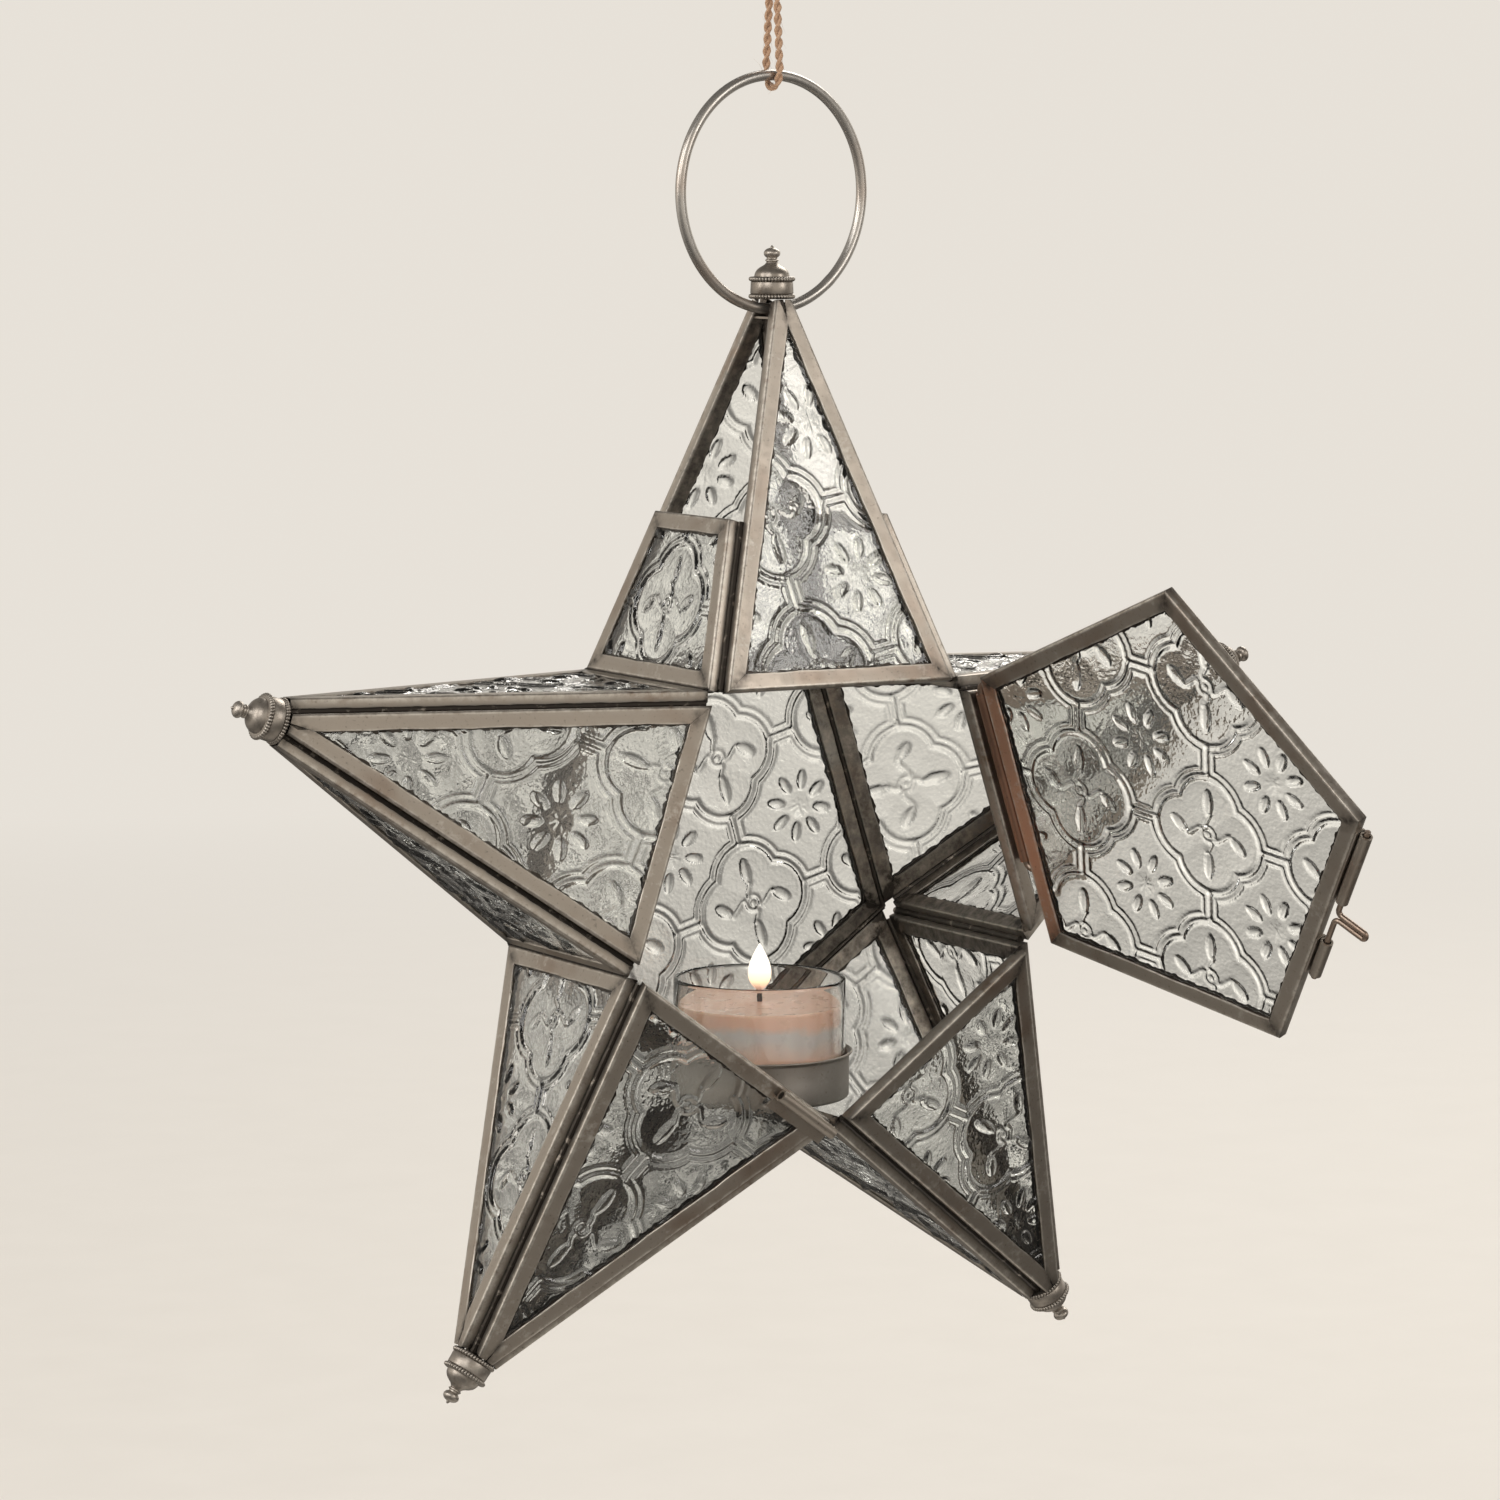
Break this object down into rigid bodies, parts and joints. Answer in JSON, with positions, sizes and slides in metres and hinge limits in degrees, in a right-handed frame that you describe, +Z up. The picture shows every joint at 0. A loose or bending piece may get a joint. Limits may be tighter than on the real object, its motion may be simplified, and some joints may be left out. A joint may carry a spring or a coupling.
{
  "type": "star lantern",
  "caption": "Hanging five-armed star lantern of pressed glass panes in folded tin frames, with a hinged pentagonal door, a wire bolt, a hanging ring and a tealight in a tin holder.",
  "frame": {"origin": "inside of the hanging ring's top wire, where a hook or the twine bears", "axes": "+Z up along the hang line, -Y out of the lantern's front through the door, +X to the right seen from the front"},
  "size_m": [0.2646, 0.162, 0.3263],
  "materials": {
    "tin": "aged tinned sheet, dull brown grey, brighter on worn edges",
    "pressed_glass": "clear pressed glass with a raised lattice of quatrefoils",
    "finial_metal": "turned, dull, worn bright on the beads",
    "ring_wire": "plain round wire, satin",
    "coppered_wire": "round wire with a thin reddish copper tone",
    "twine": "laid natural fibre, hairy",
    "clear_cup": "clear, smooth",
    "wax": "soft wax, slightly translucent",
    "wick": "burnt cotton",
    "wick_tin": "thin stamped sheet"
  },
  "bodies": {
    "hanger": {"hanging_ring": "ring_wire", "twine_loop": "twine", "twine_knot": "twine"},
    "lantern": {"top_front_frame": "tin", "top_rear_frame": "tin", "top_left_frame": "tin", "top_right_frame": "tin", "upper_left_front_frame": "tin", "upper_left_rear_frame": "tin", "upper_left_lower_frame": "tin", "upper_left_upper_frame": "tin", "lower_left_front_frame": "tin", "lower_left_rear_frame": "tin", "lower_left_inner_frame": "tin", "lower_left_outer_frame": "tin", "lower_right_front_frame": "tin", "lower_right_rear_frame": "tin", "lower_right_outer_frame": "tin", "lower_right_inner_frame": "tin", "upper_right_front_frame": "tin", "upper_right_rear_frame": "tin", "upper_right_upper_frame": "tin", "upper_right_lower_frame": "tin", "rear_frame": "tin", "top_glass": "pressed_glass", "upper_left_glass": "pressed_glass", "lower_left_glass": "pressed_glass", "lower_right_glass": "pressed_glass", "upper_right_glass": "pressed_glass", "rear_glass": "pressed_glass", "top_finial": "finial_metal", "upper_left_finial": "finial_metal", "lower_left_finial": "finial_metal", "lower_right_finial": "finial_metal", "upper_right_finial": "finial_metal", "ring_keeper": "tin", "hinge_sleeve": "tin", "latch_catch": "tin", "candle_holder": "tin"},
    "door": {"door_frame": "tin", "door_glass": "pressed_glass", "hinge_wire": "coppered_wire", "long_bolt_guide": "tin", "short_bolt_guide": "tin"},
    "bolt": {"latch_bolt": "coppered_wire"},
    "tealight": {"tealight_cup": "clear_cup", "tealight_wax": "wax", "tealight_wick": "wick", "wick_foot": "wick_tin"}
  },
  "joints": [
    {"name": "ring_swing", "type": "hinge", "parent": "hanger", "child": "lantern", "pos_m": [0, 0, -0.0502], "axis": [0.9903, 0.1392, 0], "range_deg": [-150, 150]},
    {"name": "door_hinge", "type": "hinge", "parent": "lantern", "child": "door", "pos_m": [0.04376, -0.03229, -0.16098], "axis": [-0.309, 0, 0.9511], "range_deg": [-103.5, 73.5]},
    {"name": "bolt_slide", "type": "slide", "parent": "door", "child": "bolt", "axis": [0.1195, 0.5715, -0.8118], "range_m": [-0.0009, 0.0048]},
    {"name": "tealight_lift", "type": "slide", "parent": "lantern", "child": "tealight", "axis": [0, 0, 1], "range_m": [0, 0.0125]}
  ]
}
